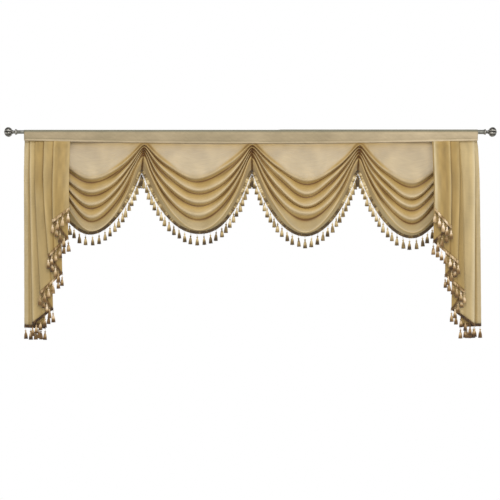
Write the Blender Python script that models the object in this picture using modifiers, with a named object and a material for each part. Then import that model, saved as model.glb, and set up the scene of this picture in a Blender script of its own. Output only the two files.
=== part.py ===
# Sheer waterfall valance hanging on a telescoping curtain rod: a rod-pocket header, four draped
# swags, two stepped side tails and a tassel fringe along every hem.
# Metres, +Z up, +X to the viewer's right, -Y towards the viewer, +Y towards the wall.
# The origin is on the rod's axis, under the middle joint between two swags.

import math

import bmesh
import bpy
from mathutils import Vector

MM = 0.001

# Cloth and fits. A drop is measured down from the rod's axis, a depth forward from it.
CLOTH = 1.0 * MM
FIT = 0.3 * MM
HANGING_FIT = 0.6 * MM
WELD = 0.01 * MM
SHARP_FROM = math.radians(40)

# Rod: a thin tube that slides into a wide one, with a fluted ball finial at each end.
THIN_RADIUS = 8.0 * MM
WIDE_RADIUS = 9.5 * MM
ROD_LEFT = -1030 * MM
ROD_RIGHT = 1016 * MM
ROD_STEP = 127 * MM
TUBE_LAP = 60 * MM
TUBE_SIDES = 20
FINIAL = {
    "socket_length": 7 * MM,
    "socket_radius": 12.5 * MM,
    "neck_length": 17 * MM,
    "neck_radius": 7.5 * MM,
    "ball_length": 33 * MM,
    "ball_radius": 22 * MM,
    "flutes": 8,
    "flute_depth": 0.15,
}

# Header: the rod pocket that carries every other piece of cloth.
HEADER_LEFT = -999 * MM
HEADER_RIGHT = 989 * MM
HEADER_END_DROP = 38 * MM
HEADER_SAG = 12 * MM
HEADER_EASE = 0.45 * MM
HEADER_TAIL_HALF_DEPTH = 8.5 * MM
HEADER_SWAG_HALF_DEPTH = 3.5 * MM
HEADER_BAYS = 10
HEADER_SLIMMING = 200 * MM
HEADER_TOP_ANGLES = (15, 45, 75)
HEADER_SIDE_DROP = 4 * MM
HEADER_TAPER = 0.7
HEADER_FOOT_RISE = 2 * MM
HEADER_FOOT_INSET = 1.2 * MM
STEP_RUN = 12 * MM
TAIL_INNER = 797 * MM

# Swags: equal bays between gathered joints. JOINT_LEAN is how far each joint's seam drifts
# sideways between its first fold and the hem.
BAY = 472 * MM
SEAM_FIT = 1.2 * MM
JOINT_LEAN = (0, -11 * MM, 0, -9 * MM, 0)
LEAN_FROM = 55 * MM
LEAN_TO = 170 * MM
SWAG_TOP_INSET = 0.8 * MM
TUCK_SHARE = 0.3
TUCK_DEPTH = 15 * MM
ROLL_SHARE = 0.7
ROLL_TUCK = 0.35
PANEL_SHARES = (0.5, 0.85)
PANEL_BULGE_POWER = 2.2
SEAM_CREST = 10 * MM
SEAM_VALLEY = 7 * MM
HIDDEN_CREST = 0.5 * MM
HIDDEN_VALLEY = -2.5 * MM
BELLY_POWER = 2.4
HIDDEN_BELLY_POWER = 1.2
SWAG_COLUMNS = 16
COLUMN_SWEEP = math.radians(72)

# One row for each fold crest from the top, the last one being the hem: its drop in mm at the left
# joint, the left quarter, the middle, the right quarter and the right joint, then its depth in mm.
SWAG_FOLDS = {
    "swag_1": (
        (70, 138, 203, 163, 55, 28),
        (79, 191, 262, 216, 66, 35),
        (88, 221, 318, 257, 77, 38),
        (98, 246, 371, 292, 88, 39),
        (112, 294, 430, 362, 110, 34),
        (167, 351, 440, 372, 167, 28),
    ),
    "swag_2": (
        (55, 149, 203, 150, 55, 28),
        (66, 186, 256, 210, 68, 35),
        (76, 238, 306, 253, 79, 38),
        (87, 287, 361, 295, 90, 39),
        (108, 333, 429, 357, 108, 34),
        (167, 369, 437, 385, 167, 28),
    ),
    "swag_3": (
        (55, 153, 209, 168, 57, 28),
        (68, 185, 267, 202, 71, 35),
        (81, 237, 324, 250, 84, 38),
        (95, 286, 358, 294, 98, 39),
        (118, 345, 439, 349, 118, 34),
        (169, 379, 448, 378, 169, 28),
    ),
    "swag_4": (
        (57, 167, 221, 152, 70, 28),
        (73, 209, 286, 188, 79, 35),
        (88, 249, 325, 226, 88, 38),
        (101, 299, 382, 268, 98, 39),
        (118, 351, 441, 333, 112, 34),
        (169, 387, 456, 362, 167, 28),
    ),
}

# Side tails: one cloth folded back and forth. A row for each fold line from the inner edge to the
# outer edge: its place in mm across the header and across the hem, the hem's drop in mm, and how
# the line runs between them: 1 is straight, more leaves the header plumb, less ends plumb.
TAIL_FOLDS = {
    "tail_left": (
        (-797, -790, 336, 1),
        (-869, -862, 386, 1),
        (-800, -796, 462, 1),
        (-911, -884, 537, 1.8),
        (-838, -824, 614, 1),
        (-950, -921, 697, 1.4),
        (-879, -867, 770, 1),
        (-974, -957, 832, 1),
        (-917, -903, 850, 1),
        (-999, -995, 846, 0.45),
    ),
    "tail_right": (
        (795, 788, 336, 1),
        (867, 860, 412, 1),
        (790, 785, 476, 1),
        (907, 893, 563, 1),
        (845, 838, 624, 1),
        (909, 924, 692, 0.8),
        (880, 868, 770, 1),
        (975, 970, 838, 1),
        (930, 910, 843, 1),
        (987.5, 1001.5, 840, 0.45),
    ),
}
# The tails' back layer comes forward in two moves, each a distance with the drops it runs between.
TAIL_BACK_TOP = -6.2 * MM
OVER_GATHER = (12 * MM, 40 * MM, 80 * MM)
OVER_SWAG = (16 * MM, 60 * MM, 210 * MM)
TAIL_TOP_GAP = 1.8 * MM
TAIL_HEM_GAP = 8.5 * MM
TAIL_OPEN_DROP = 310 * MM
TAIL_ROW_SHARES = (0, 0.03, 0.1, 0.25, 0.5, 0.75, 1)

# Tassel fringe: a braid under each hem, and tassels on it.
BRAID_HEIGHT = 11 * MM
BRAID_FIT = 1.25 * MM
BRAID_THICK = 2.2 * MM
SWAG_TASSEL_PITCH = 27 * MM
TAIL_TASSEL_PITCH = 25.5 * MM
TASSEL_ROOT = 5 * MM
TASSEL_EDGE_CLEARANCE = 9.5 * MM
FLAT_TASSEL = 0.45
# A row for each level of a tassel: how far under the braid it is, and half its width, in mm.
TASSEL_LEVELS = ((12, 0.9), (16, 3.4), (22, 2.6), (50, 6.8))


def clear_scene():
    for thing in list(bpy.data.objects):
        bpy.data.objects.remove(thing, do_unlink=True)


def make_material(name, colour, roughness, metallic=0.0):
    material = bpy.data.materials.new(name)
    material.use_nodes = True
    shader = material.node_tree.nodes["Principled BSDF"]
    shader.inputs["Base Color"].default_value = (*colour, 1.0)
    shader.inputs["Roughness"].default_value = roughness
    shader.inputs["Metallic"].default_value = metallic
    material.diffuse_color = (*colour, 1.0)
    return material


def add_object(name, bm, material, collection):
    bmesh.ops.recalc_face_normals(bm, faces=bm.faces[:])
    mesh = bpy.data.meshes.new(name)
    bm.to_mesh(mesh)
    bm.free()
    mesh.materials.append(material)
    mesh.shade_smooth()
    mesh.set_sharp_from_angle(angle=SHARP_FROM)
    thing = bpy.data.objects.new(name, mesh)
    collection.objects.link(thing)
    return thing


def thicken(thing, even):
    solidify = thing.modifiers.new("thickness", "SOLIDIFY")
    solidify.thickness = CLOTH
    solidify.offset = 0
    solidify.use_even_offset = even
    return thing


def mix(a, b, share):
    return a + (b - a) * share


def ease(share):
    share = min(max(share, 0.0), 1.0)
    return share * share * (3 - 2 * share)


def through_stations(values, s):
    """A smooth curve through values at even stations from s = -1 to s = 1, bent on past its ends."""
    before = 3 * values[0] - 3 * values[1] + values[2]
    after = 3 * values[-1] - 3 * values[-2] + values[-3]
    points = [before, *values, after]
    place = (s + 1) / 2 * (len(values) - 1)
    i = min(int(place), len(values) - 2)
    f = place - i
    a, b, c, d = points[i : i + 4]
    bend = (2 * a - 5 * b + 4 * c - d) * f * f + (3 * b - a - 3 * c + d) * f**3
    return 0.5 * (2 * b + (c - a) * f + bend)


def header_drop(x):
    return HEADER_END_DROP + HEADER_SAG * (1 - (x / HEADER_RIGHT) ** 2)


def header_half_depth(x):
    """Half the pocket's depth at its bottom: wide over the tails' folds, slim between them."""
    past_tail = ease((abs(x) - TAIL_INNER + HEADER_SLIMMING) / HEADER_SLIMMING)
    return mix(HEADER_SWAG_HALF_DEPTH, HEADER_TAIL_HALF_DEPTH, past_tail)


def joint_x(joint, drop):
    """The seam between two swags, where joint counts from 0 at the far left."""
    share = min((drop - LEAN_FROM) / (LEAN_TO - LEAN_FROM), 1)
    return (joint - 2) * BAY + JOINT_LEAN[joint] * share


def make_sheet(name, columns, rows, place, material, collection):
    """A cloth: a grid whose points place(column, row) puts in space, thickened evenly."""
    bm = bmesh.new()
    bmesh.ops.create_grid(bm, x_segments=columns, y_segments=rows, size=1)
    bm.verts.ensure_lookup_table()
    for index, vert in enumerate(bm.verts):
        vert.co = place(index % (columns + 1), index // (columns + 1))
    return thicken(add_object(name, bm, material, collection), even=False)


# Swags


def swag_levels(folds):
    """The levels down a swag. Each is (fold above, fold below, share between, share of tuck)."""
    levels = [(None, 0, share, 0.0) for share in (0.0, *PANEL_SHARES)]
    hem = len(folds) - 1
    for k in range(hem - 1):
        levels.append((k, k + 1, 0.0, 0.0))
        levels.append((k, k + 1, TUCK_SHARE, 1.0))
        levels.append((k, k + 1, ROLL_SHARE, ROLL_TUCK))
    levels += [(hem - 1, hem, share, 0.0) for share in (0.0, 0.5, 1.0)]
    return levels


def swag_point(name, s, level):
    folds = SWAG_FOLDS[name]
    number = int(name[-1])
    upper, lower, share, tuck = level
    hidden = (number == 1 and s < 0) or (number == 4 and s > 0)
    belly = 1 - abs(s) ** (HIDDEN_BELLY_POWER if hidden else BELLY_POWER)
    seam_crest = HIDDEN_CREST if hidden else SEAM_CREST
    seam_valley = HIDDEN_VALLEY if hidden else SEAM_VALLEY
    middle_x = (number - 2.5) * BAY + s * BAY / 2

    def crest(k):
        drop = through_stations([v * MM for v in folds[k][:5]], s)
        return drop, mix(seam_crest, folds[k][5] * MM, belly)

    lower_drop, lower_depth = crest(lower)
    if upper is None:
        upper_drop = header_drop(middle_x) + HANGING_FIT
        upper_depth = SWAG_TOP_INSET - header_half_depth(middle_x)
        bulge = share**PANEL_BULGE_POWER
    else:
        upper_drop, upper_depth = crest(upper)
        bulge = share
    drop = mix(upper_drop, lower_drop, share)
    depth = mix(upper_depth, lower_depth, bulge)
    depth -= tuck * mix(seam_crest - seam_valley, TUCK_DEPTH, belly)
    left = joint_x(number - 1, drop) + SEAM_FIT
    right = joint_x(number, drop) - SEAM_FIT
    return Vector((mix(left, right, (s + 1) / 2), -depth, -drop))


def column_s(column):
    """Columns crowd towards both joints, where the folds fan out."""
    return math.sin((column / SWAG_COLUMNS * 2 - 1) * COLUMN_SWEEP) / math.sin(COLUMN_SWEEP)


def make_swag(name, material, collection):
    levels = swag_levels(SWAG_FOLDS[name])

    def place(column, row):
        return swag_point(name, column_s(column), levels[row])

    return make_sheet(name, SWAG_COLUMNS, len(levels) - 1, place, material, collection)


# Side tails


def tail_line(name, k, drop):
    """Where fold line k of a tail stands across the window at this drop."""
    top, hem, hem_drop, bend = TAIL_FOLDS[name][k]
    share = (drop - HEADER_END_DROP) / (hem_drop * MM - HEADER_END_DROP)
    return mix(top, hem, max(share, 0) ** bend) * MM


def tail_depth(name, layer, drop):
    """Depth of a layer, counted from 0 at the front. The layers open out on their way down."""
    depth = TAIL_BACK_TOP
    for distance, start, end in (OVER_GATHER, OVER_SWAG):
        depth += distance * ease((drop - start) / (end - start))
    opened = ease((drop - HEADER_END_DROP) / (TAIL_OPEN_DROP - HEADER_END_DROP))
    layers_behind = len(TAIL_FOLDS[name]) - 2 - layer
    return depth + layers_behind * mix(TAIL_TOP_GAP, TAIL_HEM_GAP, opened)


def tail_columns(name, leg_steps=1, fold_steps=3):
    """Columns across the flat cloth: (layer, share along it) or (fold, share of its half turn)."""
    layers = len(TAIL_FOLDS[name]) - 1
    columns = []
    for layer in range(layers):
        columns += [("leg", layer, i / leg_steps) for i in range(leg_steps + 1)]
        if layer < layers - 1:
            columns += [("fold", layer, i / fold_steps) for i in range(1, fold_steps)]
    return columns


def tail_hem(name, column):
    kind, k, share = column
    folds = TAIL_FOLDS[name]
    if kind == "fold":
        return folds[k + 1][2] * MM
    return mix(folds[k][2], folds[k + 1][2], share) * MM


def tail_point(name, column, drop):
    kind, k, share = column
    outward = math.copysign(1, TAIL_FOLDS[name][0][0])
    heading = outward if k % 2 == 0 else -outward
    depth = tail_depth(name, k, drop)
    turn_before = (tail_depth(name, k - 1, drop) - depth) / 2 if k > 0 else 0
    if k < len(TAIL_FOLDS[name]) - 2:
        turn_after = (depth - tail_depth(name, k + 1, drop)) / 2
    else:
        turn_after = 0
    if kind == "leg":
        start = tail_line(name, k, drop) + heading * turn_before
        end = tail_line(name, k + 1, drop) - heading * turn_after
        return Vector((mix(start, end, share), -depth, -drop))
    angle = share * math.pi
    x = tail_line(name, k + 1, drop) - heading * turn_after * (1 - math.sin(angle))
    return Vector((x, -(depth - turn_after * (1 - math.cos(angle))), -drop))


def make_tail(name, material, collection):
    columns = tail_columns(name)

    def place(column, row):
        hem = tail_hem(name, columns[column])
        flat_x = tail_point(name, columns[column], HEADER_END_DROP).x
        top = header_drop(flat_x) + HANGING_FIT
        return tail_point(name, columns[column], mix(top, hem, TAIL_ROW_SHARES[row]))

    return make_sheet(name, len(columns) - 1, len(TAIL_ROW_SHARES) - 1, place, material, collection)


# Tassel fringe


class HemWalk:
    """A hem as a line walked by distance, in plan and in height."""

    def __init__(self, points):
        self.points = points
        self.marks = [0.0]
        for a, b in zip(points, points[1:]):
            self.marks.append(self.marks[-1] + (b - a).length)
        self.length = self.marks[-1]

    def at(self, distance):
        distance = min(max(distance, 0.0), self.length)
        i = 0
        while self.marks[i + 1] < distance and i < len(self.marks) - 2:
            i += 1
        share = (distance - self.marks[i]) / (self.marks[i + 1] - self.marks[i])
        return self.points[i].lerp(self.points[i + 1], share)

    def heading(self, distance):
        return (self.at(distance + MM) - self.at(distance - MM)).normalized()


def make_fringe(name, walk, tassels, edges, flat, material, collection):
    """A braid along walk, between the two points that edges(distance) gives, with a tassel at
    each distance in tassels. Flat tassels are those that hang between the layers of a tail."""
    half_root = TASSEL_ROOT / 2
    cuts = {0.0, walk.length}
    for distance in tassels:
        cuts |= {distance - half_root, distance + half_root}
    cuts |= {c for c in walk.marks if all(abs(c - t) > half_root + FIT for t in tassels)}
    cuts = sorted(c for c in cuts if 0 <= c <= walk.length)

    bm = bmesh.new()
    columns = len(cuts) - 1
    bmesh.ops.create_grid(bm, x_segments=columns, y_segments=3, size=1)
    bm.verts.ensure_lookup_table()
    grid = [bm.verts[row * (columns + 1) : (row + 1) * (columns + 1)] for row in range(4)]
    for column, distance in enumerate(cuts):
        upper, lower = edges(distance)
        ahead = walk.heading(distance)
        side = Vector((ahead.y, -ahead.x, 0)).normalized() * BRAID_THICK / 2
        for row, (edge, sign) in enumerate(((upper, 1), (upper, -1), (lower, -1), (lower, 1))):
            grid[row][column].co = edge + side * sign
    ends = [e for e in bm.edges if e.is_boundary and is_along(e, grid[0], grid[3])]
    bmesh.ops.bridge_loops(bm, edges=ends)
    bmesh.ops.holes_fill(bm, edges=[e for e in bm.edges if e.is_boundary], sides=4)
    for distance in tassels:
        column = cuts.index(distance - half_root)
        corners_of_root = {grid[row][c] for row in (2, 3) for c in (column, column + 1)}
        root = next(f for f in bm.faces if set(f.verts) == corners_of_root)
        hang_tassel(bm, root, Vector((1, 0, 0)) if flat else walk.heading(distance), flat)
    return add_object(name, bm, material, collection)


def is_along(edge, first_row, last_row):
    in_first = all(v in first_row for v in edge.verts)
    return in_first or all(v in last_row for v in edge.verts)


def hang_tassel(bm, root, ahead, flat):
    """Draws the braid's face root down into a four-sided tassel that hangs plumb."""
    along = Vector((ahead.x, ahead.y, 0)).normalized()
    across = Vector((-along.y, along.x, 0))
    centre = root.calc_center_median()
    face = root
    for under, half_width in TASSEL_LEVELS:
        face = bmesh.ops.extrude_discrete_faces(bm, faces=[face])["faces"][0]
        level = face.calc_center_median()
        for vert in face.verts:
            offset = vert.co - level
            corner = along * math.copysign(half_width * MM, offset.dot(along))
            thinness = FLAT_TASSEL if flat else 1.0
            corner += across * math.copysign(half_width * thinness * MM, offset.dot(across))
            vert.co = Vector((centre.x, centre.y, centre.z - under * MM)) + corner


def make_swag_fringe(name, swag, material, collection):
    number = int(swag[-1])
    hem_level = swag_levels(SWAG_FOLDS[swag])[-1]
    walk = HemWalk([swag_point(swag, column_s(c), hem_level) for c in range(SWAG_COLUMNS + 1)])

    def edges(distance):
        ahead = walk.heading(distance)
        outward = Vector((ahead.z, 0, -ahead.x)).normalized()
        pair = [walk.at(distance) + outward * reach for reach in (BRAID_FIT, BRAID_HEIGHT)]
        for point in pair:
            left = joint_x(number - 1, -point.z) + SEAM_FIT
            right = joint_x(number, -point.z) - SEAM_FIT
            point.x = min(max(point.x, left), right)
        # At a joint the braid is cut square, so it ends below the hem's corner.
        if min(distance, walk.length - distance) < BRAID_HEIGHT:
            pair[0].z = min(pair[0].z, walk.at(distance).z - BRAID_FIT)
            pair[1].z = min(pair[1].z, walk.at(distance).z - BRAID_HEIGHT)
        return pair

    # The first and last tassels hang just clear of the joints, and the rest share the way.
    def clears(distance):
        point = edges(distance)[1]
        to_left = point.x - joint_x(number - 1, -point.z)
        to_right = joint_x(number, -point.z) - point.x
        return min(to_left, to_right) > TASSEL_EDGE_CLEARANCE

    first, last = TASSEL_ROOT, walk.length - TASSEL_ROOT
    while not clears(first):
        first += MM
    while not clears(last):
        last -= MM
    count = round((last - first) / SWAG_TASSEL_PITCH)
    tassels = [mix(first, last, i / count) for i in range(count + 1)]
    return make_fringe(name, walk, tassels, edges, False, material, collection)


def make_tail_fringe(name, tail, material, collection):
    columns = tail_columns(tail)
    walk = HemWalk([tail_point(tail, c, tail_hem(tail, c)) for c in columns])
    turns = []
    for i, (kind, _, share) in enumerate(columns):
        if kind == "leg" and share == 1.0 and i < len(columns) - 1:
            turns.append((walk.marks[i] + walk.marks[i + 3]) / 2)
    stops = [TASSEL_ROOT, *turns, walk.length - TASSEL_ROOT]
    tassels = [stops[0]]
    for start, end in zip(stops, stops[1:]):
        count = max(round((end - start) / TAIL_TASSEL_PITCH), 1)
        tassels += [mix(start, end, i / count) for i in range(1, count + 1)]

    def edges(distance):
        hem = walk.at(distance)
        return hem - Vector((0, 0, BRAID_FIT)), hem - Vector((0, 0, BRAID_HEIGHT))

    return make_fringe(name, walk, tassels, edges, True, material, collection)


# Header and rod


def header_section(x):
    """Outline of the pocket's middle line at x, as depth and height, clockwise from the top."""
    tube = THIN_RADIUS if x < ROD_STEP else WIDE_RADIUS
    radius = (tube + HEADER_EASE + CLOTH / 2) / math.cos(math.radians(HEADER_TOP_ANGLES[0]))
    bottom = -header_drop(x) + CLOTH / 2
    front = header_half_depth(x) - CLOTH / 2
    turns = [math.radians(angle) for angle in HEADER_TOP_ANGLES]
    half = [(radius * math.sin(turn), radius * math.cos(turn)) for turn in turns]
    half.append((radius, -HEADER_SIDE_DROP))
    half.append((mix(radius, front, HEADER_TAPER), bottom * HEADER_TAPER))
    half.append((front, bottom + HEADER_FOOT_RISE))
    half.append((front - HEADER_FOOT_INSET, bottom))
    return [*half, *((-depth, height) for depth, height in reversed(half))]


def make_header(material, collection):
    """The pocket: a closed band of cloth round the rod, open at both ends."""
    around = len(header_section(0))
    stations = [mix(HEADER_LEFT, HEADER_RIGHT, i / HEADER_BAYS) for i in range(HEADER_BAYS + 1)]
    stations = sorted([*stations, ROD_STEP - STEP_RUN, ROD_STEP])
    bm = bmesh.new()
    bmesh.ops.create_grid(bm, x_segments=len(stations) - 1, y_segments=around, size=1)
    bm.verts.ensure_lookup_table()
    for index, vert in enumerate(bm.verts):
        x = stations[index % len(stations)]
        depth, height = header_section(x)[index // len(stations) % around]
        vert.co = Vector((x, -depth, height))
    bmesh.ops.remove_doubles(bm, verts=bm.verts[:], dist=WELD)
    return thicken(add_object("header_pocket", bm, material, collection), even=True)


def turned(name, profile, sides, place, facing, material, collection):
    """A solid turned about the X axis: profile is (distance along, radius), facing is 1 or -1."""
    bm = bmesh.new()
    verts = [bm.verts.new((radius, 0, -along)) for along, radius in profile]
    for a, b in zip(verts, verts[1:]):
        bm.edges.new((a, b))
    thing = add_object(name, bm, material, collection)
    screw = thing.modifiers.new("turn", "SCREW")
    screw.steps = sides
    screw.render_steps = sides
    screw.use_merge_vertices = True
    screw.merge_threshold = WELD
    thing.rotation_euler = (0, -math.pi / 2 * facing, 0)
    thing.location = place
    return thing


def make_rod(material, collection):
    thin_end = ROD_STEP + TUBE_LAP
    bore = THIN_RADIUS + FIT
    thin = ((0, 0), (0, THIN_RADIUS), (thin_end - ROD_LEFT, THIN_RADIUS), (thin_end - ROD_LEFT, 0))
    turned("rod_thin_tube", thin, TUBE_SIDES, (ROD_LEFT, 0, 0), 1, material, collection)
    length, socket = ROD_RIGHT - ROD_STEP, TUBE_LAP + FIT
    wide = ((0, 0), (0, WIDE_RADIUS), (length, WIDE_RADIUS), (length, bore))
    wide += ((length - socket, bore), (length - socket, 0))
    turned("rod_wide_tube", wide, TUBE_SIDES, (ROD_RIGHT, 0, 0), -1, material, collection)


def make_finial(name, place, facing, tube_radius, material, collection):
    """A fluted ball on a necked socket. facing is -1 for the left end and 1 for the right."""
    f = FINIAL
    neck_end = f["socket_length"] + f["neck_length"]
    sides = 2 * f["flutes"]
    rings = 6
    profile = [
        (0, 0),
        (0, f["socket_radius"] * 0.86),
        (f["socket_length"] * 0.3, f["socket_radius"]),
        (f["socket_length"] * 0.7, f["socket_radius"]),
        (f["socket_length"], tube_radius),
        (f["socket_length"] + f["neck_length"] * 0.5, f["neck_radius"] * 0.9),
        (neck_end, f["neck_radius"]),
    ]
    first_angle = math.asin(f["neck_radius"] / f["ball_radius"])
    angles = [mix(first_angle, math.pi, (i + 1) / rings) for i in range(rings)]
    start = neck_end + f["ball_length"] / 2 * math.cos(first_angle)
    for angle in angles[:-1]:
        along = start - f["ball_length"] / 2 * math.cos(angle)
        profile.append((along, f["ball_radius"] * math.sin(angle)))
    profile.append((start + f["ball_length"] / 2, 0))
    bm = bmesh.new()
    bmesh.ops.create_grid(bm, x_segments=sides, y_segments=len(profile) - 1, size=1)
    bm.verts.ensure_lookup_table()
    for index, vert in enumerate(bm.verts):
        turn, ring = index % (sides + 1) % sides, index // (sides + 1)
        along, radius = profile[ring]
        if along > neck_end and turn % 2 == 0:
            radius *= 1 - f["flute_depth"]
        angle = 2 * math.pi * turn / sides
        vert.co = Vector((facing * along, radius * math.cos(angle), radius * math.sin(angle)))
    bmesh.ops.remove_doubles(bm, verts=bm.verts[:], dist=WELD)
    thing = add_object(name, bm, material, collection)
    thing.location = place
    return thing


def main():
    clear_scene()
    collection = bpy.data.collections.new("waterfall_valance")
    bpy.context.scene.collection.children.link(collection)
    cloth = make_material("voile", (0.52, 0.39, 0.20), 0.6)
    band = make_material("header_voile", (0.56, 0.46, 0.31), 0.65)
    swag_fringe = make_material("swag_fringe_yarn", (0.20, 0.13, 0.06), 0.8)
    tail_fringe = make_material("tail_fringe_yarn", (0.48, 0.33, 0.20), 0.75)
    metal = make_material("pewter", (0.30, 0.30, 0.27), 0.35, 1.0)

    make_rod(metal, collection)
    left_end, right_end = Vector((ROD_LEFT - FIT, 0, 0)), Vector((ROD_RIGHT + FIT, 0, 0))
    make_finial("finial_left", left_end, -1, THIN_RADIUS, metal, collection)
    make_finial("finial_right", right_end, 1, WIDE_RADIUS, metal, collection)
    make_header(band, collection)
    for swag in SWAG_FOLDS:
        make_swag(swag, cloth, collection)
        make_swag_fringe(swag.replace("swag", "swag_fringe"), swag, swag_fringe, collection)
    for tail in TAIL_FOLDS:
        make_tail(tail, cloth, collection)
        make_tail_fringe(tail.replace("tail", "tail_fringe"), tail, tail_fringe, collection)


main()
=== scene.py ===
import math
import random
from bisect import bisect_right

import bpy
from mathutils import Matrix, Vector


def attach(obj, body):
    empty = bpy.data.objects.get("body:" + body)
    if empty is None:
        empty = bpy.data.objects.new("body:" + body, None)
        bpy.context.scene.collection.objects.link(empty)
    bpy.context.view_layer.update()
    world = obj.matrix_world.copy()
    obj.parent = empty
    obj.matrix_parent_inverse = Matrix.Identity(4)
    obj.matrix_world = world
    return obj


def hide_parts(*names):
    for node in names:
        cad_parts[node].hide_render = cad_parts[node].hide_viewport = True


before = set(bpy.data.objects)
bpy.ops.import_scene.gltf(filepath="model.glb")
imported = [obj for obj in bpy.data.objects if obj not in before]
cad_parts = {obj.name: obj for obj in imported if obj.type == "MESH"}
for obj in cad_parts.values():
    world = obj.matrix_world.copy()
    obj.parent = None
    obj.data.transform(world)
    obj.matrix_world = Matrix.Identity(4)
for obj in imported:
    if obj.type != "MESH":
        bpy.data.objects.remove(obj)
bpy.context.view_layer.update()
bpy.ops.object.select_all(action="DESELECT")
mm = 0.001
print("frame loaded")


# Small helpers

def mix(a, b, share):
    return a + (b - a) * share


def ease(share):
    share = min(max(share, 0.0), 1.0)
    return share * share * (3 - 2 * share)


def rise(value, start, run):
    # 0 up to the start, then smoothly up to 1 over the run
    return ease((value - start) / run)


def hump(value, centre, width):
    # 1 at the centre, dying away on both sides within about twice the width
    return math.exp(-((value - centre) / width) ** 2)


def streaks(value, *looks):
    # each look holds how strong a streak is, where its middle lies and its width
    return sum(strength * hump(value, centre, width) for strength, centre, width in looks)


def ramps(value, *looks):
    # each look holds how much is added, where that starts and how far it runs
    return sum(amount * rise(value, start, run) for amount, start, run in looks)


def toLinear(code):
    parts = [int(code[i:i + 2], 16) / 255 for i in (0, 2, 4)]
    return [p / 12.92 if p <= 0.04045 else ((p + 0.055) / 1.055) ** 2.4 for p in parts] + [1.0]


def bendThrough(a, b, c, d, share):
    # a smooth curve from b to c that comes from a and goes on to d
    bend = (2 * a - 5 * b + 4 * c - d) * share * share + (3 * b - a - 3 * c + d) * share ** 3
    return 0.5 * (2 * b + (c - a) * share + bend)


def throughStations(values, s):
    # smooth curve through values at even stations from s = -1 to s = 1, bent on past its ends
    before = 3 * values[0] - 3 * values[1] + values[2]
    after = 3 * values[-1] - 3 * values[-2] + values[-3]
    points = [before, *values, after]
    place = (s + 1) / 2 * (len(values) - 1)
    i = min(int(place), len(values) - 2)
    return bendThrough(*points[i:i + 4], place - i)


def waver(seed, waves):
    # an uneven line: a few sine waves with their own lengths and starts, from -1 to 1
    rng = random.Random(seed)
    parts = [(rng.uniform(0.6, 1.0), n * rng.uniform(0.8, 1.2), rng.uniform(0, 6.28)) for n in waves]
    total = sum(size for size, _, _ in parts)
    return lambda s: sum(size * math.sin(n * s + start) for size, n, start in parts) / total


# Materials

def connect(tree, node, links):
    # links give the output that feeds each input, or a node whose first output does
    for key, source in links.items():
        output = source.outputs[0] if isinstance(source, bpy.types.Node) else source
        tree.links.new(output, node.inputs[key])


def addNode(tree, kind, settings=None, links=None):
    # settings give properties and inputs, by name or number
    node = tree.nodes.new(kind)
    for key, value in (settings or {}).items():
        if isinstance(key, int) or key in node.inputs.keys():
            node.inputs[key].default_value = value
        else:
            setattr(node, key, value)
    connect(tree, node, links or {})
    return node


def newMaterial(name, settings):
    material = bpy.data.materials.new(name)
    material.use_nodes = True
    shader = material.node_tree.nodes["Principled BSDF"]
    for key, value in settings.items():
        shader.inputs[key].default_value = value
    return material, material.node_tree, shader


def rampStops(ramp, stops):
    colours = ramp.color_ramp
    while len(colours.elements) < len(stops):
        colours.elements.new(0.5)
    for element, (place, code) in zip(colours.elements, stops):
        element.position = place
        element.color = toLinear(code)
    return ramp


# what all the voile shares: how often slubs come in a mm across and down, and its ribs
weave = {"slubs": (0.025, 0.33), "spread": 0.3, "ribScale": 0.13, "ribWander": 0.6, "ribStrength": 0.12,
         "ribDepth": 0.2}


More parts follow.
